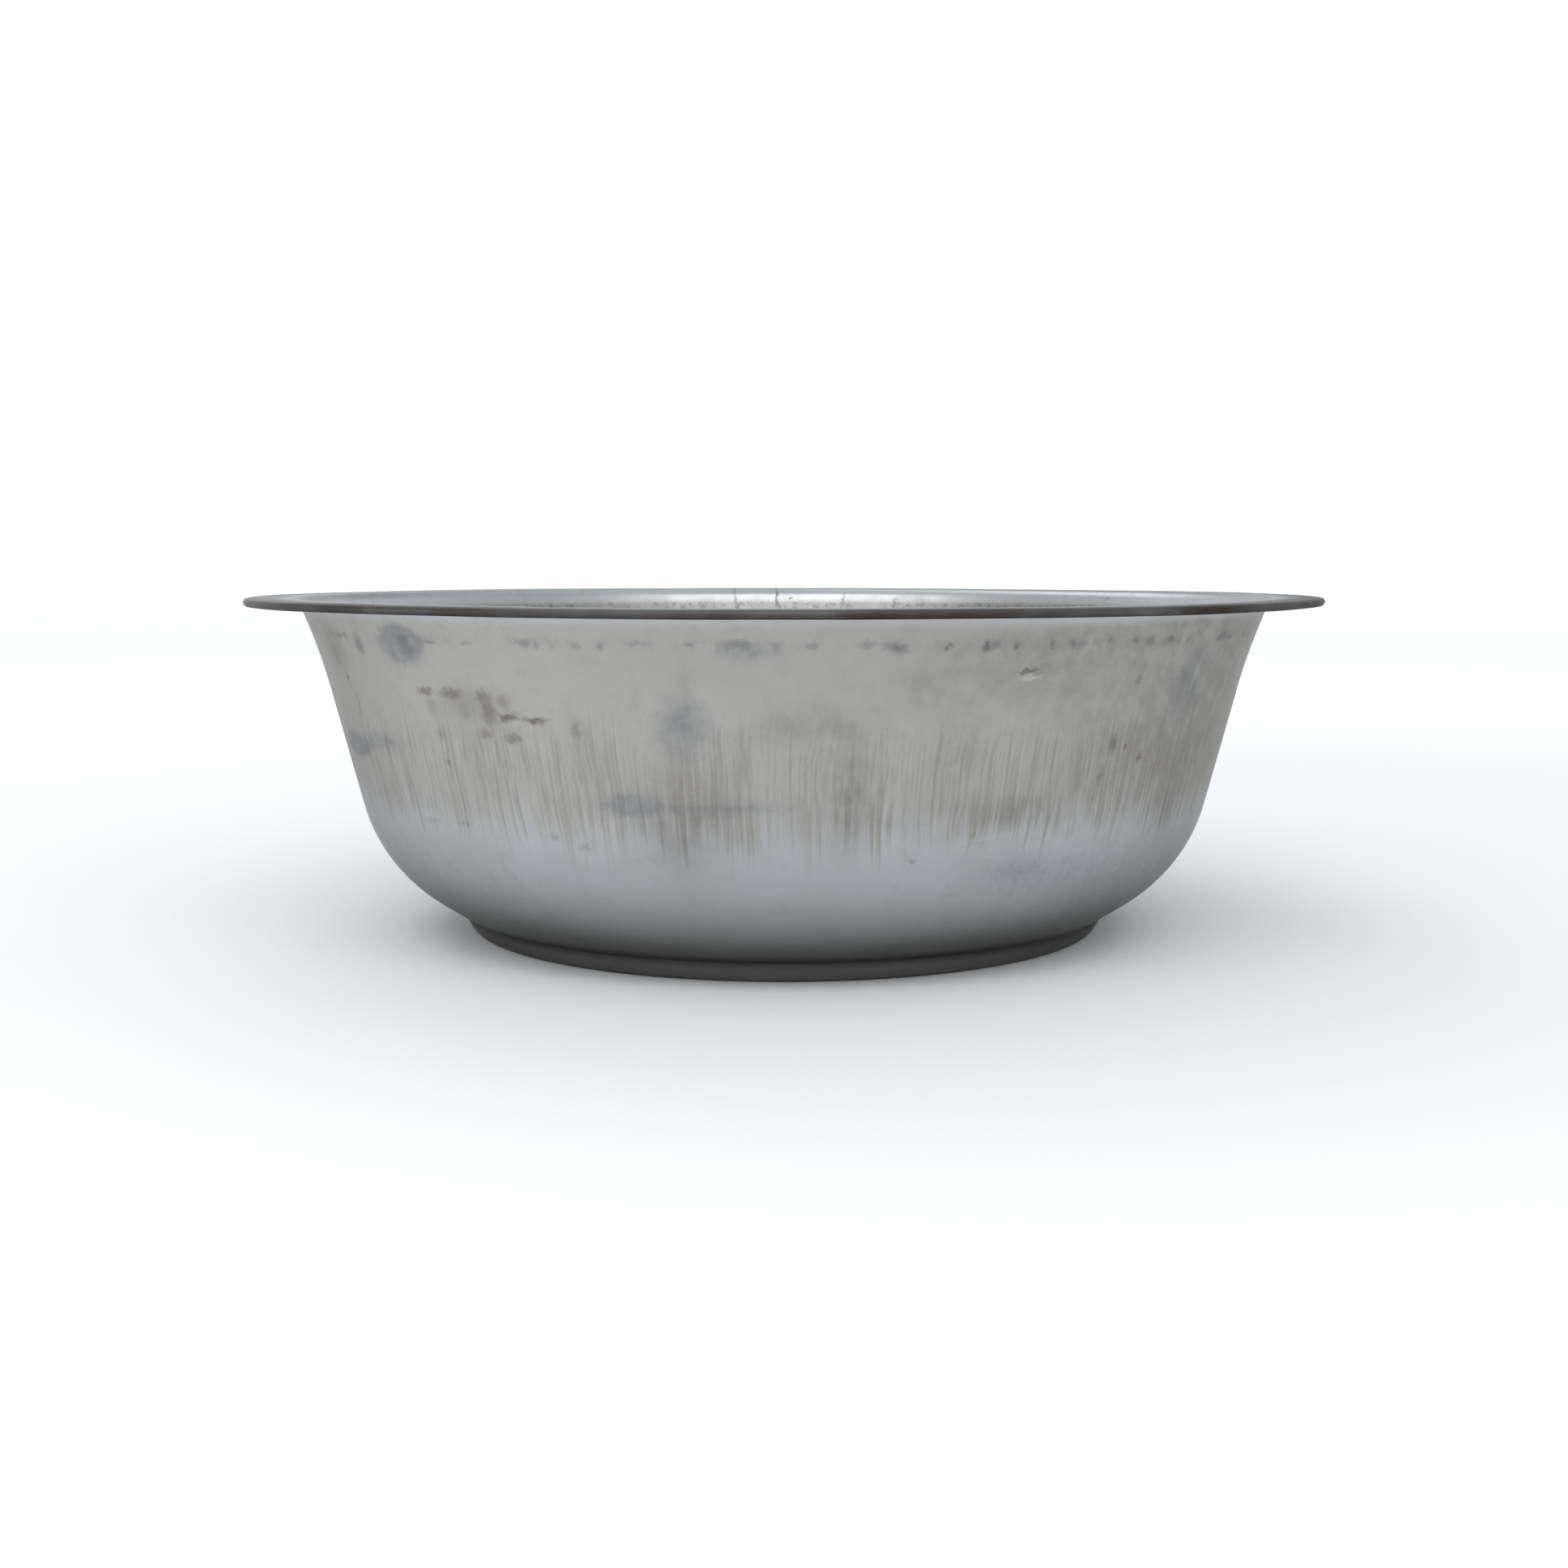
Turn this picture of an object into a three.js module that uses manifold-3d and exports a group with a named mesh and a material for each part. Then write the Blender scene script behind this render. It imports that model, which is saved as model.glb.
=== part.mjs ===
// A round mud pan, the basin in which masons and plasterers mix and carry their mortar.
// It is one deep pressing of sheet steel, whose cut edge is curled round a ring of wire.
// Millimetres, +Z up. The origin is the centre of the underside, on which the pan stands.

import * as THREE from "three";
import { mergeVertices } from "three/addons/utils/BufferGeometryUtils.js";
import Module from "manifold-3d";

// The whole pan, over the outside of the steel. Widths are level and heights upright.
const RIM_DIAMETER = 406; // over the curled edge
const PAN_HEIGHT = 127; // from the underside to the top of the lip
const SHEET = 0.6; // thickness of the steel

// The curled edge: the sheet turns down and back up round a loose wire.
const WIRE_DIAMETER = 1;
const WIRE_CLEARANCE = 0.3; // between the wire and the sheet, all round
const CURL_WRAP = 290; // degrees of turn, short of closing on the lip
const BUTT_GAP = 1.2; // between the cut ends of the wire, at the back

// The lip and the flare under it. Leans are degrees from upright.
const LIP_WIDTH = 19.4; // from the outer edge in to the wall
const LIP_CORNER_RADIUS = 4;
const FLARE_DEPTH = 20; // from the lip down to the bend between flare and wall
const FLARE_LEAN = 21.5;
const FLARE_RADIUS = 206; // of the bend between flare and wall
const WALL_LEAN = 14.3;

// The belly, where the wall turns under and runs in to the foot.
const KNUCKLE_RADIUS = 60;
const BELLY_WIDTH = 30.4; // from the knuckle's corner in to the foot
const BELLY_SLOPE = 32.9; // degrees from level

// The foot, a shallow step pressed down out of the floor.
const FOOT_HEIGHT = 7.3;
const FOOT_LEAN = 30;
const FOOT_CORNER_RADIUS = 1.4; // the hollow corner over the step
const FOOT_EDGE_RADIUS = 3.5; // the round edge that meets the ground

// How finely the round shapes are divided.
const TURN_SIDES = 72; // round the pan
const WIRE_SIDES = 10; // round the wire
const CURL_SIDES = 9;
const CORNER_SIDES = { footEdge: 4, footCorner: 2, knuckle: 7, flare: 3, lip: 5 };

const radians = THREE.MathUtils.degToRad;

const curlRadius = WIRE_DIAMETER / 2 + WIRE_CLEARANCE + SHEET;
const curlCentre = new THREE.Vector2(RIM_DIAMETER / 2 - curlRadius, PAN_HEIGHT - curlRadius);

// The outside face of a sheet that runs straight from corner to corner, with each corner but the first
// and last rounded to its radius. Each point of the face also has the direction through the sheet.
function bentFace(corners) {
  const face = [];
  corners.forEach(({ at, radius, sides }, i) => {
    const ahead = corners[i + 1]?.at.clone().sub(at).normalize();
    const arriving = i > 0 ? at.clone().sub(corners[i - 1].at).normalize() : ahead;
    const through = new THREE.Vector2(-arriving.y, arriving.x);
    if (radius === undefined) {
      face.push({ at, through });
      return;
    }
    const turn = Math.atan2(arriving.cross(ahead), arriving.dot(ahead)); // positive to the left
    const bendStart = at.clone().addScaledVector(arriving, -radius * Math.tan(Math.abs(turn) / 2));
    const centre = bendStart.clone().addScaledVector(through, radius * Math.sign(turn));
    for (let side = 0; side <= sides; side++) {
      const turned = through.clone().rotateAround(new THREE.Vector2(), (turn * side) / sides);
      face.push({ at: centre.clone().addScaledVector(turned, -radius * Math.sign(turn)), through: turned });
    }
  });
  return face;
}

// The same face carried on round the wire: over the outside, underneath and back up towards the lip.
function curlFace() {
  return Array.from({ length: CURL_SIDES }, (_, side) => {
    const angle = radians(90 - (CURL_WRAP * (side + 1)) / CURL_SIDES);
    const through = new THREE.Vector2(Math.cos(angle), Math.sin(angle));
    return { at: curlCentre.clone().addScaledVector(through, curlRadius - SHEET), through };
  });
}

// Half of the pressing's section: out along its outside face, and back along its inside face.
function pressingSection() {
  const lipUnderside = PAN_HEIGHT - SHEET;
  const bellyTop = FOOT_HEIGHT + BELLY_WIDTH * Math.tan(radians(BELLY_SLOPE));
  const lipCorner = new THREE.Vector2(RIM_DIAMETER / 2 - LIP_WIDTH, lipUnderside);
  const flareBend = new THREE.Vector2(
    lipCorner.x - FLARE_DEPTH * Math.tan(radians(FLARE_LEAN)),
    lipUnderside - FLARE_DEPTH,
  );
  const knuckle = new THREE.Vector2(
    flareBend.x - (flareBend.y - bellyTop) * Math.tan(radians(WALL_LEAN)),
    bellyTop,
  );
  const footCorner = new THREE.Vector2(knuckle.x - BELLY_WIDTH, FOOT_HEIGHT);
  const footEdge = new THREE.Vector2(footCorner.x - FOOT_HEIGHT * Math.tan(radians(FOOT_LEAN)), 0);
  const face = [
    ...bentFace([
      { at: new THREE.Vector2(0, 0) },
      { at: footEdge, radius: FOOT_EDGE_RADIUS, sides: CORNER_SIDES.footEdge },
      { at: footCorner, radius: FOOT_CORNER_RADIUS, sides: CORNER_SIDES.footCorner },
      { at: knuckle, radius: KNUCKLE_RADIUS, sides: CORNER_SIDES.knuckle },
      { at: flareBend, radius: FLARE_RADIUS, sides: CORNER_SIDES.flare },
      { at: lipCorner, radius: LIP_CORNER_RADIUS, sides: CORNER_SIDES.lip },
      { at: new THREE.Vector2(curlCentre.x, lipUnderside) },
    ]),
    ...curlFace(),
  ];
  const outside = face.map(({ at }) => at);
  const inside = face.map(({ at, through }) => at.clone().addScaledVector(through, SHEET));
  return [...outside, ...inside.reverse()];
}

// The wire's round section, closed on its first point.
function wireSection() {
  return Array.from({ length: WIRE_SIDES + 1 }, (_, side) => {
    const angle = (2 * Math.PI * (side % WIRE_SIDES)) / WIRE_SIDES;
    const spoke = new THREE.Vector2(Math.cos(angle), Math.sin(angle));
    return curlCentre.clone().addScaledVector(spoke, WIRE_DIAMETER / 2);
  });
}

// A section turned about the pan's axis. LatheGeometry turns about Y, so the result is stood on Z.
function turnedOnZ(section) {
  return new THREE.LatheGeometry(section, TURN_SIDES).rotateX(Math.PI / 2);
}

const wasm = await Module();
wasm.setup();

function toSolid(geometry) {
  const bare = geometry.clone();
  bare.deleteAttribute("normal");
  bare.deleteAttribute("uv");
  const merged = mergeVertices(bare);
  const vertProperties = Float32Array.from(merged.attributes.position.array);
  const triVerts = Uint32Array.from(merged.index.array);
  return new wasm.Manifold(new wasm.Mesh({ numProp: 3, vertProperties, triVerts }));
}

function toGeometry(solid) {
  const { vertProperties, triVerts } = solid.getMesh();
  const geometry = new THREE.BufferGeometry();
  geometry.setAttribute("position", new THREE.BufferAttribute(vertProperties, 3));
  geometry.setIndex(new THREE.BufferAttribute(triVerts, 1));
  geometry.computeVertexNormals();
  return geometry;
}

// The wire is one length, rolled into a ring whose cut ends nearly meet.
function rimWireGeometry() {
  const reach = 2 * WIRE_DIAMETER;
  const gap = new THREE.BoxGeometry(BUTT_GAP, reach, reach);
  gap.translate(0, curlCentre.x, curlCentre.y);
  return toGeometry(toSolid(turnedOnZ(wireSection())).subtract(toSolid(gap)));
}

const sheetSteel = new THREE.MeshStandardMaterial({ color: 0xa3a3a0, roughness: 0.42, metalness: 0.9 });
const wireSteel = new THREE.MeshStandardMaterial({ color: 0x6f6b66, roughness: 0.5, metalness: 0.9 });

function piece(name, geometry, material) {
  const mesh = new THREE.Mesh(geometry, material);
  mesh.name = name;
  return mesh;
}

const mudPan = new THREE.Group();
mudPan.add(piece("pan_pressing", turnedOnZ(pressingSection()), sheetSteel));
mudPan.add(piece("rim_wire", rimWireGeometry(), wireSteel));

export default mudPan;
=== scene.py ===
import bpy
import numpy as np
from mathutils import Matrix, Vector


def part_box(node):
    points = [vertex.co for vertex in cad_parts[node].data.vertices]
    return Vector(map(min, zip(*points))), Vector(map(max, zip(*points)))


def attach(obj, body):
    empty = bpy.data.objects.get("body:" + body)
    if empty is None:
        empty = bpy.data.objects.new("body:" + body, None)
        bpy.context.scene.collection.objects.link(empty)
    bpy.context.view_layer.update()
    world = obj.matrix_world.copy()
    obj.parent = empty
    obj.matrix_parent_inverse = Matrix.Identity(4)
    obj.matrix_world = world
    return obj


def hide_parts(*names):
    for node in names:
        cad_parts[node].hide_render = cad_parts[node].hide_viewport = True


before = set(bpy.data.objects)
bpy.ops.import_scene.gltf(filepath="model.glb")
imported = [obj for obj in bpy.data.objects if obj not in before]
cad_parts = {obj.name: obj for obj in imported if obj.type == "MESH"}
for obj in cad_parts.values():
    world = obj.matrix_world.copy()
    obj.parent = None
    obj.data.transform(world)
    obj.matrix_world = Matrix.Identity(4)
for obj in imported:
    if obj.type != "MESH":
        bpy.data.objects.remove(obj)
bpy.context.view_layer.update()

# ---------------------------------------------------------------------------------------------
# The pan: one disc of bare mild steel, drawn over a punch into foot, belly, wall, flare and lip.
# The trimmed edge is curled down and back under the lip. Nothing is painted or plated, so the
# drawing marks, the smears of press oil and the knocks of handling all stay on the metal.
# ---------------------------------------------------------------------------------------------
rim_radius, _, pan_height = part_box("pan_pressing")[1]

SHEET = 0.0006
CURL_RADIUS = 0.0014  # over the outside of the curled edge
CURL_WRAP = 290  # degrees that the edge turns
LIP_WIDTH = 0.0194
LIP_CORNER_RADIUS = 0.004
FLARE_DEPTH = 0.020
FLARE_LEAN = 21.5  # degrees from upright
FLARE_RADIUS = 0.206
WALL_LEAN = 14.3
KNUCKLE_RADIUS = 0.060
BELLY_WIDTH = 0.0304
BELLY_SLOPE = 32.9  # degrees from level
FOOT_HEIGHT = 0.0073
FOOT_LEAN = 30
FOOT_CORNER_RADIUS = 0.0014
FOOT_EDGE_RADIUS = 0.0035

TURN_STEPS = 360  # round the pan
CURL_STEPS = 16

FLOOR_RISE = 0.0004  # how far the middle of the floor springs up
RIM_DROP = 0.0004  # how far the rim ends below its full height, once sprung
RIM_PULL = 0.0003  # and how far inside its full radius
SPRING_START = 0.02  # height from which the wall springs back, up to the lip's corner
CREASE = 50  # degrees; faces that meet at more than this meet in a sharp edge

curl_centre = np.array([rim_radius - CURL_RADIUS, pan_height - CURL_RADIUS])


def slope(degrees):
    """How far a leaning line moves sideways for each step along: the tangent of its lean."""
    return np.tan(np.radians(degrees))


def quarter_left(direction):
    """A direction turned a quarter turn to the left: (x, y) becomes (-y, x)."""
    return np.array([-direction[1], direction[0]])


def run_of_sheet(corners):
    """The sheet's outside face in the plane of radius and height: straight runs from corner to
    corner, and at each inner corner an arc that touches both runs. A corner is its place, its
    radius, the steps along its arc and the steps along the straight run that leads to it. Returns
    the points and, at each, the unit direction through the sheet."""
    places = np.array([place for place, *_ in corners])
    runs = np.diff(places, axis=0)
    runs /= np.hypot(*runs.T)[:, None]
    points, through = [places[:1]], [quarter_left(runs[0])[None]]
    for i, (place, radius, arc_steps, run_steps) in enumerate(corners[1:], start=1):
        arriving, leaving = runs[i - 1], runs[min(i, len(runs) - 1)]
        left = quarter_left(arriving)
        turn = np.arctan2(left @ leaving, arriving @ leaving)
        arc_start = places[i] - arriving * radius * np.tan(abs(turn) / 2)
        share = np.arange(1, run_steps)[:, None] / run_steps
        points.append(points[-1][-1] * (1 - share) + arc_start * share)
        through.append(np.repeat(left[None], run_steps - 1, axis=0))
        angle = np.linspace(0, turn, arc_steps + 1)[:, None]
        turned = left * np.cos(angle) + quarter_left(left) * np.sin(angle)
        centre = arc_start + left * radius * np.sign(turn)
        points.append(centre - turned * radius * np.sign(turn))
        through.append(turned)
    return np.concatenate(points), np.concatenate(through)


lip_underside = pan_height - SHEET
lip_corner = (rim_radius - LIP_WIDTH, lip_underside)
flare_bend = (lip_corner[0] - FLARE_DEPTH * slope(FLARE_LEAN), lip_underside - FLARE_DEPTH)
belly_top = FOOT_HEIGHT + BELLY_WIDTH * slope(BELLY_SLOPE)
knuckle = (flare_bend[0] - (flare_bend[1] - belly_top) * slope(WALL_LEAN), belly_top)
foot_corner = (knuckle[0] - BELLY_WIDTH, FOOT_HEIGHT)
foot_edge = (foot_corner[0] - FOOT_HEIGHT * slope(FOOT_LEAN), 0)

run_points, run_through = run_of_sheet(
    [
        ((0, 0), 0, 0, 0),
        (foot_edge, FOOT_EDGE_RADIUS, 6, 24),
        (foot_corner, FOOT_CORNER_RADIUS, 4, 4),
        (knuckle, KNUCKLE_RADIUS, 20, 6),
        (flare_bend, FLARE_RADIUS, 10, 18),
        (lip_corner, LIP_CORNER_RADIUS, 8, 4),
        ((curl_centre[0], lip_underside), 0, 0, 6),
    ]
)

# Round the wire the face is a circle inside the curl, from its top over the outside and under.
curl_angle = 90 - CURL_WRAP * np.arange(1, CURL_STEPS + 1) / CURL_STEPS
curl_through = np.stack([np.cos(np.radians(curl_angle)), np.sin(np.radians(curl_angle))], axis=1)
face = np.concatenate([run_points, curl_centre + curl_through * (CURL_RADIUS - SHEET)])
through = np.concatenate([run_through, curl_through])
face_radius, face_height = face[:, :1], face[:, 1:]
section_rows = len(face)

round_pan = 2 * np.pi * np.arange(TURN_STEPS) / TURN_STEPS  # 0 at the front, a quarter turn at +X
# Both are 1 where the wall can carry a mark: outside the foot, and fading out just under the lip.
on_wall = face_radius > foot_corner[0] + 0.002
below_lip = 1 / (1 + np.exp((face_height - pan_height + 0.006) / 0.0012))


def turned_from(angle):
    """How far each step round the pan is turned from an angle in degrees: their difference, brought
    to between minus and plus half a turn."""
    return (round_pan - np.radians(angle) + np.pi) % (2 * np.pi) - np.pi


def oval(angle, height, wide, tall):
    """A smooth oval on the wall, 1 in its middle: exp of minus the squared distance, where the
    distance round the pan from an angle in degrees and the distance from a height are each
    divided by half the oval's size that way. Sizes are in metres."""
    across = turned_from(angle) * face_radius / (wide / 2)
    along = (face_height - height) / (tall / 2)
    return np.exp(-(across**2) - along**2) * on_wall * below_lip


rng = np.random.default_rng(7)


def waves(*crests):
    """Waves round the pan, given as pairs of a whole number of crests and a height, added up with
    phases drawn at random."""
    return sum(high * np.cos(count * round_pan + rng.uniform(0, 2 * np.pi)) for count, high in crests)


# How far the sheet is pushed in from its true shape, first by springing back.
up_wall = (face_height - SPRING_START) / (pan_height - SPRING_START - LIP_CORNER_RADIUS)
up_wall = np.clip(up_wall, 0, 1)
pushed_in = waves((5, 0.00012), (8, 0.00010), (13, 0.00005)) * up_wall * below_lip
pushed_in = pushed_in + FLOOR_RISE * np.clip(1 - (face_radius / foot_edge[0]) ** 2, 0, 1)
# A sharp knock high on the front, with the metal raised under it, and a soft one on the belly.
pushed_in += 0.00040 * oval(26, 0.1055, 0.010, 0.0055) - 0.00015 * oval(26, 0.1010, 0.016, 0.0060)
pushed_in += 0.00025 * oval(23, 0.1010, 0.008, 0.0080)
pushed_in += 0.00025 * oval(26, 0.0520, 0.034, 0.0080) + 0.00090 * oval(28, 0.0390, 0.022, 0.0140)
# Small knocks anywhere on the sides and back.
for knock in range(18):
    size = rng.uniform(0.008, 0.026)
    pushed_in += rng.uniform(0.0001, 0.0005) * oval(
        rng.uniform(70, 290), rng.uniform(0.030, 0.110), size, size * rng.uniform(0.4, 1.0)
    )

# The rim is never quite level or quite round once the press has let it go.
sprung = up_wall**3
rim_lift = waves((2, 0.00016), (3, 0.00010), (7, 0.00006), (23, 0.00002)) - RIM_DROP
rim_inset = waves((2, 0.00010), (3, 0.00006), (5, 0.00004)) - RIM_PULL
# Where the flange was gathered in, it keeps faint radial puckers over the lip's corner.
lip_pucker = np.exp(-(((face_height - pan_height + 0.002) / 0.005) ** 2)) * (
    face_radius < lip_corner[0] + 0.006
)
pushed_in = pushed_in + lip_pucker * waves((41, 0.00003), (67, 0.00003), (93, 0.00002))


def sheet_face(depth):
    """One face of the sheet, as a grid of section rows by turns round the pan: each point of the
    section moved along the direction through the sheet, by the depth and by what is pushed in,
    then turned about Z."""
    out = face_radius + through[:, :1] * (depth + pushed_in) + rim_inset * sprung
    up = face_height + through[:, 1:] * (depth + pushed_in) + rim_lift * sprung
    return np.stack([out * np.sin(round_pan), -out * np.cos(round_pan), up], axis=2)


def joined_rings(outside, inside):
    """The points of a shell that runs out over one grid and back over the other, and its faces.
    The first row of each grid lies on the axis and becomes one point, with a fan of triangles."""
    turns = outside.shape[1]
    rings = np.concatenate([outside[1:], inside[:0:-1]])
    points = np.concatenate([outside[0, :1], rings.reshape(-1, 3), inside[0, :1]])
    here = 1 + np.arange(len(rings))[:, None] * turns + np.arange(turns)
    after = np.roll(here, -1, axis=1)
    quads = np.stack([here[:-1], after[:-1], after[1:], here[1:]], axis=2)
    foot_fan = np.stack([0 * here[0], after[0], here[0]], axis=1)
    floor_fan = np.stack([0 * here[0] + len(points) - 1, here[-1], after[-1]], axis=1)
    return points, quads, foot_fan, floor_fan


def add_mesh(name, points, corner_groups):
    """A mesh object from points and groups of faces, each group an array of corner numbers."""
    corner_groups = [group.reshape(-1, group.shape[-1]) for group in corner_groups]
    sizes = np.concatenate([np.full(len(group), group.shape[1]) for group in corner_groups])
    mesh = bpy.data.meshes.new(name)
    mesh.vertices.add(len(points))
    mesh.vertices.foreach_set("co", points.ravel())
    mesh.loops.add(int(sizes.sum()))
    mesh.loops.foreach_set("vertex_index", np.concatenate([group.ravel() for group in corner_groups]))
    mesh.polygons.add(len(sizes))
    mesh.polygons.foreach_set("loop_start", np.cumsum(sizes) - sizes)
    mesh.polygons.foreach_set("loop_total", sizes)
    mesh.update(calc_edges=True)
    mesh.shade_smooth()
    piece = bpy.data.objects.new(name, mesh)
    bpy.context.scene.collection.objects.link(piece)
    return piece


shell_points, shell_quads, foot_fan, floor_fan = joined_rings(sheet_face(0), sheet_face(SHEET))
pan_sheet = add_mesh("pan_sheet", shell_points, [foot_fan, shell_quads, floor_fan])
pan_sheet.data.set_sharp_from_angle(angle=np.radians(CREASE))


def lay_flat(mesh):
    """The sheet's own map: each face of the sheet is a disc, with the angle kept and the distance
    from the disc's centre in proportion to the way along the section. The cut edge is a last
    narrow ring round the inside's disc."""
    way = np.concatenate([[0], np.cumsum(np.hypot(*np.diff(face, axis=0).T))])
    inner = face + through * SHEET
    inner_way = np.concatenate([[0], np.cumsum(np.hypot(*np.diff(inner, axis=0).T))])
    disc = 0.288  # of the map's side; two such discs fit corner to corner
    scale = disc / (inner_way[-1] + 2 * SHEET)
    outside_from, inside_from = np.array([0.295, 0.295]), np.array([0.705, 0.705])
    heading = np.stack([np.sin(round_pan), -np.cos(round_pan)], axis=1)
    heading_after = np.roll(heading, -1, axis=0)

    def at(middle, towards, along):
        """The disc's middle plus the heading times the way along the section, to scale."""
        return middle + towards * along * scale

    def ring(middle, start, end):
        """A ring of four-cornered faces, from one way along the section to another."""
        near = [at(middle, heading, start), at(middle, heading_after, start)]
        far = [at(middle, heading_after, end), at(middle, heading, end)]
        return np.stack(near + far, axis=1)

    rings = [ring(outside_from, start, end) for start, end in zip(way[1:-1], way[2:])]
    rings.append(ring(inside_from, inner_way[-1] + 2 * SHEET, inner_way[-1]))
    back = inner_way[:0:-1]
    rings += [ring(inside_from, start, end) for start, end in zip(back[:-1], back[1:])]
    foot = ring(outside_from, 0, way[1])[:, [0, 2, 3]]
    floor = ring(inside_from, 0, inner_way[1])[:, [0, 3, 2]]
    flat = mesh.uv_layers.new(name="OFBake")
    everything = [foot.reshape(-1, 2), np.concatenate(rings).reshape(-1, 2), floor.reshape(-1, 2)]
    flat.uv.foreach_set("vector", np.concatenate(everything).astype(np.float32).ravel())


lay_flat(pan_sheet.data)


def mark(mesh, name, outside, inside):
    """A number at each point of the shell, from a grid of values for each face of the sheet."""
    outside = np.broadcast_to(outside, (section_rows, TURN_STEPS))
    inside = np.broadcast_to(inside, (section_rows, TURN_STEPS))
    values = [outside[0, :1], outside[1:].ravel(), inside[:0:-1].ravel(), inside[0, :1]]
    layer = mesh.attributes.new(name, "FLOAT", "POINT")
    layer.data.foreach_set("value", np.concatenate(values).astype(np.float32))


def films(*patches):
    """Ovals added up. Each is given as its angle in degrees, its height, width and tallness in
    millimetres, and how strong it is in its middle."""
    return sum(
        strong * oval(angle, high / 1000, wide / 1000, tall / 1000)
        for angle, high, wide, tall, strong in patches
    )


# Soft patches on the metal: films of grey press oil, and warmer, darker ones where the draw was
# heaviest. Of the darker ones, the broad patch on the right of the front and the band just under the
# lip there are painted shade: that side darker, away from the light.
oil = films(
    (-64, 76, 26, 7, 2.2),
    (-54, 79, 26, 8, 0.8),
    (-44.4, 114, 20, 11.8, 2.2),
    (-17, 64.5, 19, 6.4, 1.4),
    (-10.4, 90, 20, 21, 0.9),
    (-6, 64, 44, 6, 0.6),
    (-4, 113, 22, 10, 0.4),
    (-1, 114, 40, 8, 0.3),
    (10.9, 59, 16, 11, 0.35),
    (29, 40, 44, 15, 0.36),
    (39.2, 81.5, 8, 10, 0.4),
    (44, 34, 110, 30, 0.42),
    (51, 101, 22, 30, 0.75),
)
tone_and_shade = films(
    (-61, 111, 20, 18, 0.8),
    (-35, 88, 44, 34, 0.3),
    (-22.1, 86, 8, 18, 0.4),
    (-11, 61, 30, 36, 0.75),
    (-10.1, 103, 7, 14, 0.3),
    (1.6, 91, 36, 17, 0.55),
    (6.9, 67, 14, 40, 0.75),
    (14, 102, 18, 16, 0.35),
    (18.6, 81, 20, 22, 0.35),
    (24, 106, 70, 26, 0.42),
    (25, 61, 44, 10, 0.5),
    # Painted shade: the band under the lip on the right.
    (38, 116.5, 130, 14, 0.6),
    (41, 103, 10, 24, 0.45),
    (49, 108.5, 16, 24, 1.1),
    # Painted shade: the right of the front darker, away from the light.
    (50, 95, 110, 80, 0.85),
    (54.5, 66, 12, 30, 0.95),
)
# More of both, anywhere on the sides and back.
for patch in range(24):
    where, high = rng.uniform(72, 288), rng.uniform(0.055, 0.116)
    wide, tall = rng.uniform(0.008, 0.036), rng.uniform(0.005, 0.026)
    if patch % 2:
        oil += rng.uniform(0.3, 1.1) * oval(where, high, wide, tall)
    else:
        tone_and_shade += rng.uniform(0.3, 0.6) * oval(where, high, wide, tall)
# The inside has the same kinds of patches, fainter and in other places.
mark(pan_sheet.data, "oil", oil, 0.6 * np.roll(oil, 140, axis=1))
mark(pan_sheet.data, "tone_and_shade", tone_and_shade, 0.6 * np.roll(tone_and_shade, 95, axis=1))

# The curled edge keeps the brown film left by rolling it over, and the lip a worn, thinner one.
# Where hands have lifted the pan part of the film is rubbed away: each place is an angle, how far
# it reaches either way in degrees, and the share of the film that is gone in its middle.
on_curl = np.arange(section_rows)[:, None] >= section_rows - CURL_STEPS
curl_film = np.zeros((section_rows, 1))
curl_film[on_curl] = np.interp(curl_angle, [20, 90], [1, 0.75])  # thinner over its top
lip_film = 0.80 / (1 + np.exp((lip_corner[0] + 0.007 - face_radius) / 0.0015))
kept = 1.0
for angle, wide, rubbed in ((-80, 17, 0.42), (97, 10, 0.25), (152, 7, 0.30), (-150, 14, 0.40)):
    kept = kept - rubbed * np.exp(-((turned_from(angle) / np.radians(wide)) ** 2))
mark(pan_sheet.data, "curl_film", kept * on_curl, kept * np.maximum(curl_film, lip_film))
mark(pan_sheet.data, "outer_face", 1, 0)


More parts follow.
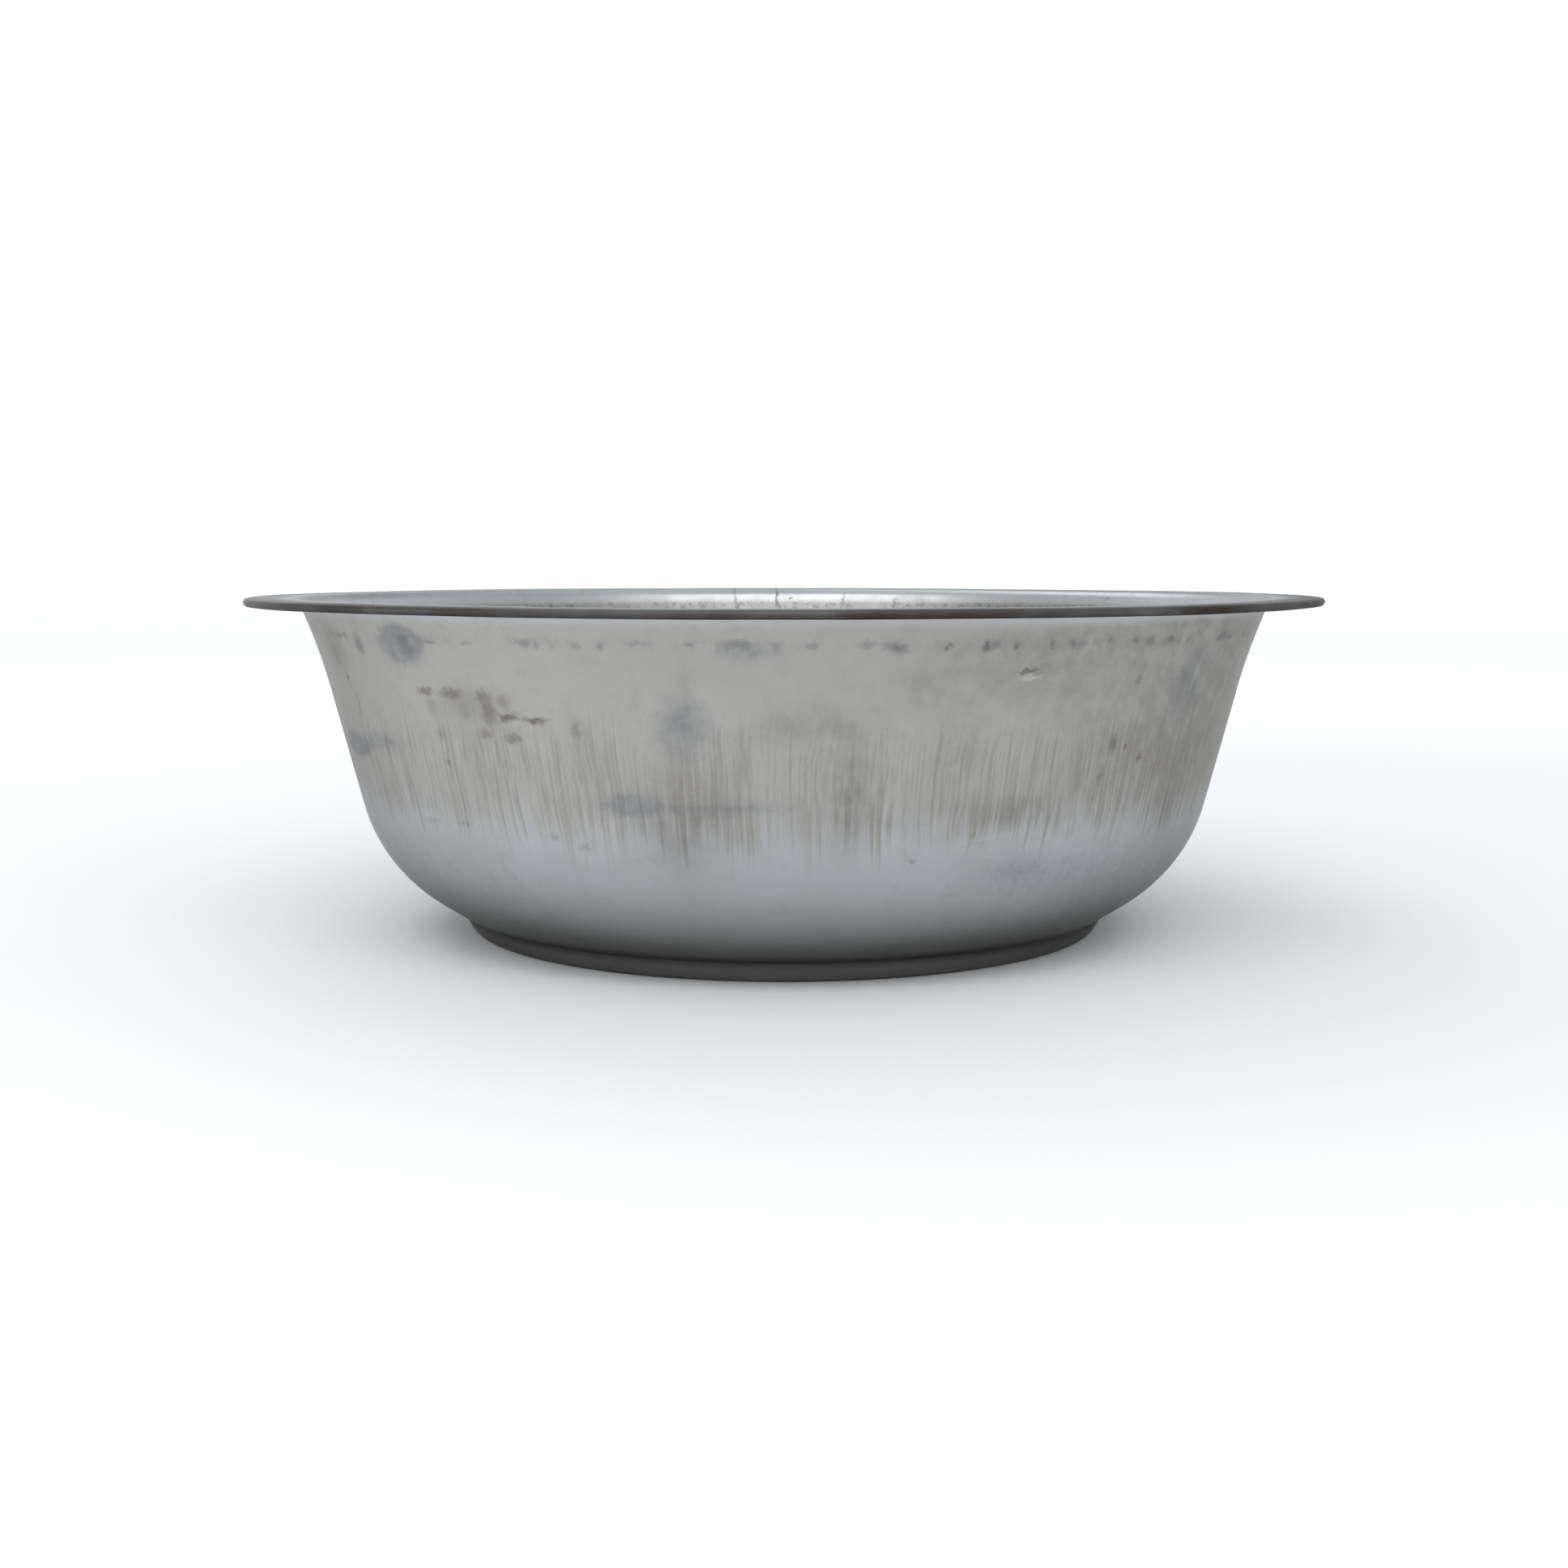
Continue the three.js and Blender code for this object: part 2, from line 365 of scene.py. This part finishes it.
class Finish:
    """A finish put together from shader nodes. Each method adds one node and gives its output."""

    def __init__(self, name):
        self.material = bpy.data.materials.new(name)
        self.material.use_nodes = True
        self.tree = self.material.node_tree
        self.surface = self.tree.nodes["Principled BSDF"]
        self.place = self.add("ShaderNodeTexCoord").outputs["Object"]

    def add(self, kind, inputs=None, **settings):
        """A node with its settings, each input either linked to another node or set to a value."""
        node = self.tree.nodes.new(kind)
        for name, value in settings.items():
            setattr(node, name, value)
        for name, value in (inputs or {}).items():
            if isinstance(value, bpy.types.NodeSocket):
                self.tree.links.new(value, node.inputs[name])
            else:
                node.inputs[name].default_value = value
        return node

    def sums(self, operation, first, second=0.0):
        """One number from one or two others, by the operation named."""
        return self.add("ShaderNodeMath", {0: first, 1: second}, operation=operation).outputs[0]

    def times(self, first, second):
        """The product, which for two masks is where both hold."""
        return self.sums("MULTIPLY", first, second)

    def plus(self, first, second):
        """The sum."""
        return self.sums("ADD", first, second)

    def minus(self, first, second):
        """The first less the second."""
        return self.sums("SUBTRACT", first, second)

    def most(self, first, second):
        """The larger, which for two masks is where either holds."""
        return self.sums("MAXIMUM", first, second)

    def step(self, value, low, high, to_low=0.0, to_high=1.0):
        """Rises smoothly from one value to another as the input goes from low to high."""
        inputs = {"Value": value, "From Min": low, "From Max": high}
        inputs |= {"To Min": to_low, "To Max": to_high}
        return self.add("ShaderNodeMapRange", inputs, interpolation_type="SMOOTHSTEP").outputs[0]

    def vectors(self, operation, first, second):
        """One vector from two others, or from one and a number where it is scaled."""
        inputs = {0: first, "Scale" if operation == "SCALE" else 1: second}
        return self.add("ShaderNodeVectorMath", inputs, operation=operation).outputs[0]

    def length(self, vector):
        """The length of a vector."""
        return self.add("ShaderNodeVectorMath", {0: vector}, operation="LENGTH").outputs["Value"]

    def noise(self, vector, size, detail=2.0, roughness=0.5):
        """Noise whose grains have a size each way, or one size every way."""
        x, y, z = size if isinstance(size, tuple) else (size, size, size)
        fitted = self.vectors("MULTIPLY", vector, (1 / x, 1 / y, 1 / z))
        inputs = {"Vector": fitted, "Scale": 1.0, "Detail": detail, "Roughness": roughness}
        return self.add("ShaderNodeTexNoise", inputs).outputs["Fac"]

    def blend(self, share, first, second):
        """The first colour times one less the share, plus the second times the share."""
        inputs = {"Factor": share, 6: first, 7: second}
        return self.add("ShaderNodeMix", inputs, data_type="RGBA").outputs[2]

    def painted(self, name):
        """A number that the mesh holds at each of its points."""
        return self.add("ShaderNodeAttribute", attribute_name=name).outputs["Fac"]


def grey(red, green, blue):
    """A near-grey colour, with full cover."""
    return (red, green, blue, 1.0)


steel = Finish("bare_sheet_steel")
axes = steel.add("ShaderNodeSeparateXYZ", {0: steel.place}).outputs
height = axes["Z"]
outer = steel.painted("outer_face")
inner = steel.step(outer, 1.0, 0.0)

# Coordinates that run round a drum about as wide as the wall, so that a grain goes round unbroken.
DRUM = 0.17
level_place = steel.add("ShaderNodeCombineXYZ", {"X": axes["X"], "Y": axes["Y"]}).outputs[0]
spoke = steel.add("ShaderNodeVectorMath", {0: level_place}, operation="NORMALIZE").outputs[0]
on_drum = steel.vectors("SCALE", spoke, DRUM)
upright = steel.add("ShaderNodeCombineXYZ", {"Z": height}).outputs[0]
drum = steel.vectors("ADD", on_drum, upright)

# On the level floor those would all meet at the axis, so there the place itself is used.
from_axis = steel.length(level_place)
off_floor = steel.step(from_axis, 0.110, 0.121)
on_floor = steel.step(off_floor, 1.0, 0.0)
skin = steel.blend(off_floor, steel.place, drum)

clouds = steel.noise(skin, (0.038, 0.038, 0.030), 3.0, 0.55)
mottle = steel.noise(steel.place, 0.0070, 4.0, 0.62)
grain = steel.noise(steel.place, 0.0009, 2.0, 0.6)
ragged = steel.noise(skin, 0.0028, 4.0, 0.7)
rolled = steel.noise(steel.place, (0.060, 0.0010, 0.02), 3.0, 0.6)

# Draw marks run down the wall: hair lines, short flecks, and broader streaks that taper to points
# where the wall turns under. They sway a little, so that they lean together and apart.
sway = steel.add("ShaderNodeTexNoise", {"Vector": drum, "Scale": 28.0, "Detail": 1.0}).outputs["Color"]
sway = steel.vectors("SCALE", steel.vectors("SUBTRACT", sway, (0.5, 0.5, 0.5)), 0.0048)
swayed = steel.vectors("ADD", drum, sway)
hair = steel.noise(swayed, (0.0011, 0.0011, 0.060), 3.0, 0.65)
fleck = steel.noise(swayed, (0.0008, 0.0008, 0.013), 2.0, 0.60)
streak = steel.noise(swayed, (0.0017, 0.0017, 0.09), 3.0, 0.60)
patches = steel.noise(drum, (0.020, 0.020, 0.030), 2.0)
tone_and_shade_map = steel.painted("tone_and_shade")

# A streak shows where its noise passes a level, which rises towards its two ends and is lower in
# some patches and under the darker patches, the painted shade on the right among them.
level = steel.step(height, 0.064, 0.036, 0.49, 0.74)
level = steel.plus(level, steel.step(height, 0.078, 0.106, 0.0, 0.22))
level = steel.minus(level, steel.times(steel.minus(patches, 0.5), 0.22))
level = steel.minus(level, steel.times(tone_and_shade_map, steel.step(height, 0.074, 0.094, 0.16, 0.0)))
bold = steel.step(steel.minus(streak, level), -0.02, 0.20)
hair_here = steel.times(steel.step(height, 0.046, 0.060), steel.step(height, 0.101, 0.076))
fine = steel.most(steel.step(hair, 0.50, 0.72), steel.step(fleck, 0.54, 0.74, 0.0, 0.8))
fine = steel.times(fine, hair_here)
bright_hair = steel.times(steel.step(hair, 0.44, 0.30), hair_here)

# The thin warm film of the drawn wall ends at the knuckle in points, and at the lip's corner.
film_edge = steel.plus(height, steel.times(steel.minus(streak, 0.5), 0.055))
drawn = steel.times(steel.step(film_edge, 0.048, 0.064), steel.step(height, 0.1235, 0.1195))

# The ring that the die left below the lip, with a broken row of smudges along it outside the pan.
DIE_RING = 0.1150
wander = steel.times(steel.minus(ragged, 0.5), 0.0016)
off_ring = steel.sums("ABSOLUTE", steel.minus(steel.plus(height, wander), DIE_RING))
smudges = steel.noise(drum, (0.0046, 0.0046, 0.0060), 1.0, 0.5)
row_gaps = steel.step(steel.noise(drum, (0.019, 0.019, 0.3), 1.0), 0.42, 0.56, 0.15, 1.0)
smudge_row = steel.times(steel.step(off_ring, 0.0026, 0.0002), steel.step(smudges, 0.44, 0.70))
smudge_row = steel.times(steel.times(smudge_row, row_gaps), outer)

# Inside the pan a duller, darker band runs round the wall from about 110 to 121 mm up, full of specks.
inner_band = steel.times(steel.step(height, 0.1212, 0.1190), steel.step(height, 0.1100, 0.1150))
inner_band = steel.times(inner_band, inner)
inner_specks = steel.times(inner_band, steel.step(ragged, 0.47, 0.66))
inner_specks = steel.times(inner_specks, steel.step(clouds, 0.38, 0.56, 0.2, 1.0))

# The wall unrolled flat, the way round it and the height, each nudged to and fro by a fine noise so
# that what is placed on it has ragged edges.
turned = steel.sums("ARCTAN2", axes["X"], steel.times(axes["Y"], -1.0))
unrolled = steel.add("ShaderNodeCombineXYZ", {"X": steel.times(turned, DRUM), "Y": height}).outputs[0]
nudge = {"Vector": drum, "Scale": 500.0, "Detail": 4.0}
nudge = steel.add("ShaderNodeTexNoise", nudge).outputs["Color"]
nudge = steel.vectors("SUBTRACT", steel.vectors("SCALE", nudge, 0.0040), (0.0020, 0.0020, 0))
unrolled = steel.vectors("ADD", unrolled, nudge)


def spots(*marks):
    """The darkest of some ovals at each place. The distance from an oval's middle is divided by
    half its size each way, and the oval fades as that goes from 0.2 to 1.5. Each is given as its
    angle round the pan in degrees, its height, width and tallness in millimetres, how dark it is,
    and, if it leans, by how many degrees."""
    darkest = 0.0
    for angle, high, wide, tall, dark, *lean in marks:
        middle = (np.radians(angle) * DRUM, high / 1000, 0)
        half = (wide / 2000, tall / 2000, 1)
        if lean:
            turn = (0, 0, np.radians(lean[0]))
            leaning = {"Vector": unrolled, "Location": middle, "Rotation": turn, "Scale": half}
            away = steel.add("ShaderNodeMapping", leaning, vector_type="TEXTURE").outputs[0]
        else:
            away = steel.vectors("DIVIDE", steel.vectors("SUBTRACT", unrolled, middle), half)
        darkest = steel.most(steel.step(steel.length(away), 1.5, 0.2, 0.0, dark), darkest)
    return darkest


# Smudges of oil along the die's ring, on the front.
ring_marks = spots(
    (-57, 115.2, 10, 1.4, 0.6),
    (-53.2, 112.6, 6, 7, 0.6),
    (-43.4, 111.8, 9, 5, 0.45),
    (-39.5, 114.6, 7, 1.0, 0.55),
    (-34, 114.8, 5, 1.4, 0.4),
    (-14.2, 115.7, 7, 2.2, 0.35),
    (-9.1, 115.8, 4, 2.4, 0.45),
    (-4.3, 115.4, 9, 3.4, 0.55),
    (2.7, 115.2, 4, 2.4, 0.4),
    (8.1, 115.5, 6, 2.6, 0.45),
    (11.2, 113.9, 5, 2.8, 0.7),
    (16.1, 114.4, 3, 2.8, 0.75),
    (20.2, 114.2, 2.2, 3.6, 0.85),
    (23.5, 114.5, 1.8, 3.0, 0.75),
    (27.6, 114.8, 2.0, 3.4, 0.6),
    (31, 114.6, 6, 3.0, 0.45),
    (35, 115.4, 2, 2, 0.5),
    (39, 115.2, 3.4, 1.8, 0.6),
    (44.9, 115.0, 4, 1.5, 0.6),
    (58.3, 114.7, 7, 1.3, 0.65),
)
ring_marks = steel.times(ring_marks, outer)

# A smear of brown dirt high on the left of the front, and single scuffs; one dark line, along the top
# of the knock high on the front, is painted shadow.
scuffs_and_dent_shadow = spots(
    (-42.3, 98.2, 8, 3.2, 0.60),
    (-41.6, 93.4, 7, 8, 0.28),
    (-41.2, 84.2, 5.0, 4.0, 0.30),
    (-38.0, 97.8, 12, 4.2, 0.65),
    (-36.6, 93.6, 9, 9, 0.32),
    (-35.8, 95.0, 34, 11, 0.22),
    (-34.0, 85.4, 6.2, 3.6, 0.40),
    (-33.4, 97.4, 8, 5.0, 0.60),
    (-33.0, 93.0, 7.5, 10, 0.62),
    (-30.9, 96.2, 7, 6.0, 0.40),
    (-30.6, 91.4, 9.5, 3.4, 0.80),
    (-30.3, 84.3, 6.2, 3.6, 0.60),
    (-27.0, 90.7, 9, 2.6, 0.80),
    (-59.9, 100.2, 2.0, 1.8, 0.6),
    (-58.5, 91.0, 2.2, 9.0, 0.3),
    (-46.8, 53.6, 9, 2.0, 0.20),
    (-41.0, 75.0, 2.0, 3.0, 0.4),
    (-40.2, 54.0, 8, 2.0, 0.20),
    (-26.8, 52.6, 3.6, 2.0, 0.32),
    (-22.9, 49.8, 5.5, 2.6, 0.32),
    (-22.1, 88.0, 3.0, 6.0, 0.35),
    (14.6, 46.5, 2.4, 1.8, 0.4),
    # Painted shadow along the top of the knock.
    (25.4, 106.4, 7.5, 1.4, 0.55),
    (38.1, 71.2, 3.4, 6.0, 0.35),
    (39.2, 81.6, 4.5, 6.0, 0.45),
    (41.0, 101.8, 2.4, 3.0, 0.3),
    (41.4, 80.1, 2.2, 2.4, 0.65),
    (44.4, 75.9, 2.6, 3.2, 0.65),
)

# Much the same small marks scattered over the rest of the wall.
behind = steel.most(steel.step(axes["Y"], -0.075, -0.03), inner)
scatter = steel.noise(drum, (0.0060, 0.0060, 0.0045), 3.0, 0.75)
scattered = steel.times(steel.step(scatter, 0.64, 0.74), steel.step(clouds, 0.50, 0.62))
scattered = steel.times(steel.times(scattered, behind), steel.step(height, 0.050, 0.070, 0.0, 0.7))
scuffs_and_dent_shadow = steel.most(steel.times(scuffs_and_dent_shadow, outer), scattered)

# Rubbed bright lines, one of them, along the foot of the knock high on the front, a painted highlight;
# the knock itself; and fine cracks in the film inside at the back.
pale_lines_and_dent_highlight = spots(
    (21, 49.6, 24, 1.4, 0.3, 10),
    (23.8, 53.0, 32, 1.7, 0.5, 6.6),
    # Painted highlight along the foot of the knock.
    (25.8, 104.4, 7, 1.5, 0.9),
    (52.3, 103, 2, 17, 0.5, -14),
)
pale_lines_and_dent_highlight = steel.times(pale_lines_and_dent_highlight, outer)
dents = steel.times(spots((25.8, 105.4, 9, 3.0, 1.0, -3), (28.0, 107.2, 5, 4, 0.4)), outer)
ticks = spots(
    (-178.9, 122, 1.3, 12, 0.8),
    (-172.6, 122, 1.2, 12, 0.5),
    (171, 121, 1.2, 7, 0.5),
    (163, 120, 2, 6, 0.5),
)
ticks = steel.times(ticks, inner)

# The painted films, broken up by the noises.
oil_here = steel.plus(steel.painted("oil"), steel.times(steel.minus(ragged, 0.5), 0.7))
oil_here = steel.times(steel.step(oil_here, 0.12, 0.95), steel.step(mottle, 0.25, 0.65, 0.6, 1.0))
tone_and_shade_here = steel.times(steel.step(tone_and_shade_map, 0.0, 0.7), steel.step(mottle, 0.30, 0.62, 0.5, 1.0))
film = steel.times(steel.painted("curl_film"), steel.step(clouds, 0.2, 0.7, 0.8, 1.0))

# The underside has been slid over rough ground: it is scraped across in a few directions, and worn
# brighter in a ring near its edge, where it bears.
beneath = steel.times(steel.step(height, 0.0014, 0.0006), outer)
scrapes = 0.0
for angle, width in ((0.5, 0.00050), (1.7, 0.00070), (2.6, 0.00045)):  # radians and metres
    turning = {"Vector": steel.place, "Axis": (0, 0, 1), "Angle": angle}
    across = steel.add("ShaderNodeVectorRotate", turning).outputs[0]
    scrape = steel.noise(across, (0.034, width, 1.0), 3.0, 0.6)
    scrapes = steel.most(steel.step(scrape, 0.58, 0.74), scrapes)
scrapes = steel.times(steel.times(scrapes, beneath), steel.step(clouds, 0.34, 0.62, 0.25, 1.0))
BEARING_RADIUS = 0.1150
off_bearing = steel.sums("ABSOLUTE", steel.minus(from_axis, BEARING_RADIUS))
bearing = steel.times(steel.step(off_bearing, 0.0060, 0.0010), steel.step(ragged, 0.36, 0.64))
bearing = steel.times(bearing, beneath)

# Painted shade: the colour darkens from below the knuckle down to the foot, and a dark line of painted
# shadow runs along the corner over the foot.
painted_foot_shade = steel.times(steel.step(height, 0.040, 0.007, 0.0, 0.84), outer)
off_corner = steel.sums("ABSOLUTE", steel.minus(height, FOOT_HEIGHT + 0.0002))
painted_corner_shadow = steel.times(steel.step(off_corner, 0.0034, 0.0002, 0.0, 0.62), outer)

# Colour, from the clean metal outwards.
cool, warm = grey(0.464, 0.476, 0.488), grey(0.414, 0.408, 0.390)
colour = steel.blend(drawn, cool, warm)
colour = steel.blend(steel.step(clouds, 0.35, 0.75, 0.0, 0.20), colour, grey(0.30, 0.302, 0.300))
colour = steel.blend(steel.step(mottle, 0.50, 0.80, 0.0, 0.22), colour, grey(0.27, 0.266, 0.256))
rolled_here = steel.times(steel.step(rolled, 0.50, 0.75, 0.0, 0.30), on_floor)
colour = steel.blend(rolled_here, colour, grey(0.27, 0.272, 0.270))
# Darker tone, with painted shade on the right of the front and under the lip there.
colour = steel.blend(steel.times(tone_and_shade_here, 0.46), colour, grey(0.215, 0.207, 0.194))
colour = steel.blend(steel.times(bold, 0.33), colour, grey(0.205, 0.192, 0.175))
colour = steel.blend(steel.times(fine, 0.28), colour, grey(0.22, 0.206, 0.188))
colour = steel.blend(steel.times(bright_hair, 0.30), colour, grey(0.50, 0.495, 0.48))
colour = steel.blend(steel.times(oil_here, 0.55), colour, grey(0.165, 0.183, 0.202))
colour = steel.blend(steel.times(inner_band, 0.50), colour, grey(0.17, 0.175, 0.18))
colour = steel.blend(steel.times(inner_specks, 0.75), colour, grey(0.10, 0.105, 0.11))
colour = steel.blend(steel.times(smudge_row, 0.50), colour, grey(0.14, 0.145, 0.15))
colour = steel.blend(ticks, colour, grey(0.11, 0.115, 0.12))
colour = steel.blend(steel.times(ring_marks, 0.80), colour, grey(0.120, 0.125, 0.130))
# Scuffs and dirt, with the painted shadow over the knock.
colour = steel.blend(steel.times(scuffs_and_dent_shadow, 0.86), colour, grey(0.105, 0.090, 0.074))
# Bright rubbed lines, with the painted highlight under the knock.
colour = steel.blend(steel.times(pale_lines_and_dent_highlight, 0.5), colour, grey(0.52, 0.52, 0.51))
# Painted shade towards the foot, and a painted shadow line in the corner over it.
colour = steel.blend(painted_foot_shade, colour, grey(0.130, 0.128, 0.121))
colour = steel.blend(painted_corner_shadow, colour, grey(0.035, 0.035, 0.036))
colour = steel.blend(film, colour, grey(0.046, 0.040, 0.036))
colour = steel.blend(steel.times(bearing, 0.55), colour, grey(0.34, 0.335, 0.325))
colour = steel.blend(steel.times(scrapes, 0.50), colour, grey(0.30, 0.30, 0.295))
steel.tree.links.new(colour, steel.surface.inputs["Base Color"])

# Gloss: dull where the wall dragged through the die, smoother below it and on the lip's corner.
gloss = steel.step(drawn, 0.0, 1.0, 0.36, 0.43)
gloss = steel.plus(gloss, steel.times(steel.most(oil_here, scuffs_and_dent_shadow), 0.10))
gloss = steel.plus(gloss, steel.times(bold, 0.05))
gloss = steel.plus(gloss, steel.times(film, 0.16))
gloss = steel.plus(gloss, steel.step(mottle, 0.3, 0.7, -0.03, 0.03))
steel.tree.links.new(gloss, steel.surface.inputs["Roughness"])

# Relief: the draw marks as fine flutes, the rolled sheet's grain on the floor, and every mark that
# goes into the metal. It is counted in steps of RELIEF_STEP metres.
RELIEF_STEP = 0.00004
relief = steel.plus(steel.times(bold, -0.5), steel.times(steel.times(hair, hair_here), 0.5))
relief = steel.plus(relief, steel.times(grain, 0.10))
relief = steel.plus(relief, steel.times(mottle, 0.35))
relief = steel.plus(relief, steel.times(steel.times(rolled, on_floor), 0.35))
relief = steel.plus(relief, steel.times(scuffs_and_dent_shadow, -0.4))
relief = steel.plus(relief, steel.times(scrapes, -1.2))
relief = steel.plus(relief, steel.times(dents, -9.0))
relief = steel.plus(relief, steel.times(pale_lines_and_dent_highlight, 1.2))
bump = steel.add("ShaderNodeBump", {"Height": relief, "Strength": 1.0, "Distance": RELIEF_STEP})
steel.tree.links.new(bump.outputs[0], steel.surface.inputs["Normal"])
steel.surface.inputs["Metallic"].default_value = 1.0
steel.surface.inputs["Specular Tint"].default_value = grey(0.55, 0.55, 0.55)

pan_sheet.data.materials.append(steel.material)
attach(pan_sheet, "root")
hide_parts("pan_pressing")

# ---------------------------------------------------------------------------------------------
# The rim wire: one length of plain drawn steel wire, rolled into a ring and laid under the edge
# before the sheet is curled over it. Its two cut ends stop just short of each other at the back.
# ---------------------------------------------------------------------------------------------
WIRE_RADIUS = 0.0005
BUTT_GAP = 0.0012
WIRE_SIDES = 16

gap_angle = BUTT_GAP / (2 * curl_centre[0])
along_wire = np.linspace(np.pi + gap_angle, 3 * np.pi - gap_angle, TURN_STEPS + 1)
round_wire = 2 * np.pi * np.arange(WIRE_SIDES) / WIRE_SIDES


def along_rim(rim_value):
    """The rim's own lift or inset, read off at each step along the wire."""
    closed = np.append(rim_value, rim_value[0])
    return np.interp(along_wire, np.append(round_pan, 2 * np.pi), closed, period=2 * np.pi)[:, None]


def wire_ring():
    """Points of a circle carried round the rim, as a grid of steps along the wire by sides round
    it: the curl's centre, moved as the rim is, plus the wire's radius times the cosine and sine."""
    out = curl_centre[0] + along_rim(rim_inset) + WIRE_RADIUS * np.cos(round_wire)
    up = curl_centre[1] + along_rim(rim_lift) + WIRE_RADIUS * np.sin(round_wire)
    turn = along_wire[:, None]
    return np.stack([out * np.sin(turn), -out * np.cos(turn), up], axis=2)


wire_points = wire_ring()
steps, sides = wire_points.shape[:2]
here = np.arange(steps)[:, None] * sides + np.arange(sides)
beside = np.roll(here, -1, axis=1)
wire_quads = np.stack([here[:-1], here[1:], beside[1:], beside[:-1]], axis=2)
# Each cut end is closed by a fan of triangles round a point in its middle.
ends = wire_points[[0, -1]].mean(axis=1)
first_cap = np.stack([0 * here[0] + steps * sides, here[0], beside[0]], axis=1)
last_cap = np.stack([0 * here[0] + steps * sides + 1, beside[-1], here[-1]], axis=1)
wire_all = np.concatenate([wire_points.reshape(-1, 3), ends])
rim_wire = add_mesh("rim_wire_ring", wire_all, [wire_quads, first_cap, last_cap])
rim_wire.data.set_sharp_from_angle(angle=np.radians(CREASE))

drawn_wire = Finish("drawn_wire")
scale_film = drawn_wire.noise(drawn_wire.place, 0.004, 4.0, 0.65)
wire_colour = drawn_wire.blend(
    drawn_wire.step(scale_film, 0.35, 0.70), grey(0.24, 0.225, 0.205), grey(0.13, 0.105, 0.085)
)
drawn_wire.tree.links.new(wire_colour, drawn_wire.surface.inputs["Base Color"])
wire_gloss = drawn_wire.step(scale_film, 0.3, 0.7, 0.42, 0.60)
drawn_wire.tree.links.new(wire_gloss, drawn_wire.surface.inputs["Roughness"])
drawn_wire.surface.inputs["Metallic"].default_value = 1.0
rim_wire.data.materials.append(drawn_wire.material)
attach(rim_wire, "root")
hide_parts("rim_wire")

# ---------------------------------------------------------------------------------------------
# The studio: a round pale floor whose edge sweeps up into a low glowing wall, like a light tent,
# soft boxes in front and above, and the camera a little above the rim.
# ---------------------------------------------------------------------------------------------
FLOOR_RADIUS, SWEEP_RADIUS, TENT_HEIGHT = 3.5, 0.8, 2.0

sweep = np.linspace(0, np.pi / 2, 13)
sweep_out = FLOOR_RADIUS + SWEEP_RADIUS * np.sin(sweep)
stage_out = np.concatenate([[0, 0.5, 1.5], sweep_out, [FLOOR_RADIUS + SWEEP_RADIUS]])
stage_up = np.concatenate([[0, 0, 0], SWEEP_RADIUS * (1 - np.cos(sweep)), [TENT_HEIGHT]])
STAGE_SIDES = 96
round_stage = 2 * np.pi * np.arange(STAGE_SIDES) / STAGE_SIDES
stage_points = np.stack(
    [
        stage_out[:, None] * np.cos(round_stage),
        stage_out[:, None] * np.sin(round_stage),
        stage_up[:, None] + 0 * round_stage,
    ],
    axis=2,
)
here = np.arange(stage_points[1:, :, 0].size).reshape(-1, STAGE_SIDES) + 1
after = np.roll(here, -1, axis=1)
stage_quads = np.stack([here[:-1], here[1:], after[1:], after[:-1]], axis=2)
stage_fan = np.stack([0 * here[0], here[0], after[0]], axis=1)
stage_all = np.concatenate([stage_points[0, :1], stage_points[1:].reshape(-1, 3)])
studio_floor = add_mesh("studio_floor", stage_all, [stage_fan, stage_quads])

paper = Finish("studio_paper")
paper.surface.inputs["Base Color"].default_value = grey(0.83, 0.835, 0.84)
paper.surface.inputs["Roughness"].default_value = 0.9
paper.surface.inputs["Emission Color"].default_value = grey(1.0, 1.0, 1.0)
from_pan = paper.length(paper.place)
glow = paper.plus(paper.step(from_pan, 0.35, 1.5, 0.0, 0.22), paper.step(from_pan, 3.6, 4.4, 0.0, 0.22))
paper.tree.links.new(glow, paper.surface.inputs["Emission Strength"])
studio_floor.data.materials.append(paper.material)

middle_of_pan = Vector((0, 0, pan_height / 2))


def soft_box(name, azimuth, elevation, distance, size, power):
    """A soft box that faces the pan from a distance. Its azimuth is 0 in front of the pan and 90 at
    its right, and its elevation is 90 straight above: the direction is the sine and minus the cosine
    of the azimuth, each times the cosine of the elevation, and the sine of the elevation."""
    light = bpy.data.lights.new(name, "AREA")
    light.shape = "RECTANGLE"
    light.size, light.size_y = size
    light.energy = power
    turn, lift = np.radians(azimuth), np.radians(elevation)
    away = Vector((np.sin(turn) * np.cos(lift), -np.cos(turn) * np.cos(lift), np.sin(lift)))
    lamp = bpy.data.objects.new(name, light)
    lamp.location = middle_of_pan + distance * away
    lamp.rotation_euler = away.to_track_quat("Z", "Y").to_euler()
    bpy.context.scene.collection.objects.link(lamp)


soft_box("window", -3, 44, 1.7, (2.4, 0.6), 14.0)
soft_box("left_front", -68, 4, 1.5, (0.7, 0.25), 1.7)
soft_box("overhead", 180, 86, 2.5, (3.0, 3.0), 6)
soft_box("left_back", -150, 48, 1.8, (1.2, 1.0), 5)

world = bpy.data.worlds.new("room")
world.use_nodes = True
world.node_tree.nodes["Background"].inputs["Color"].default_value = grey(0.95, 0.97, 1.0)
world.node_tree.nodes["Background"].inputs["Strength"].default_value = 0.70
bpy.context.scene.world = world
bpy.context.scene.view_settings.view_transform = "Standard"

CAMERA_DISTANCE = 0.7662
CAMERA_HEIGHT = 0.1414
CAMERA_PITCH = 6.58  # degrees down

camera = bpy.data.objects.new("camera", bpy.data.cameras.new("camera"))
camera.data.sensor_width = 36
camera.data.lens = 45.1
camera.location = (0, -CAMERA_DISTANCE, CAMERA_HEIGHT)
camera.rotation_euler = (np.radians(90 - CAMERA_PITCH), 0, 0)
bpy.context.scene.collection.objects.link(camera)
bpy.context.scene.camera = camera
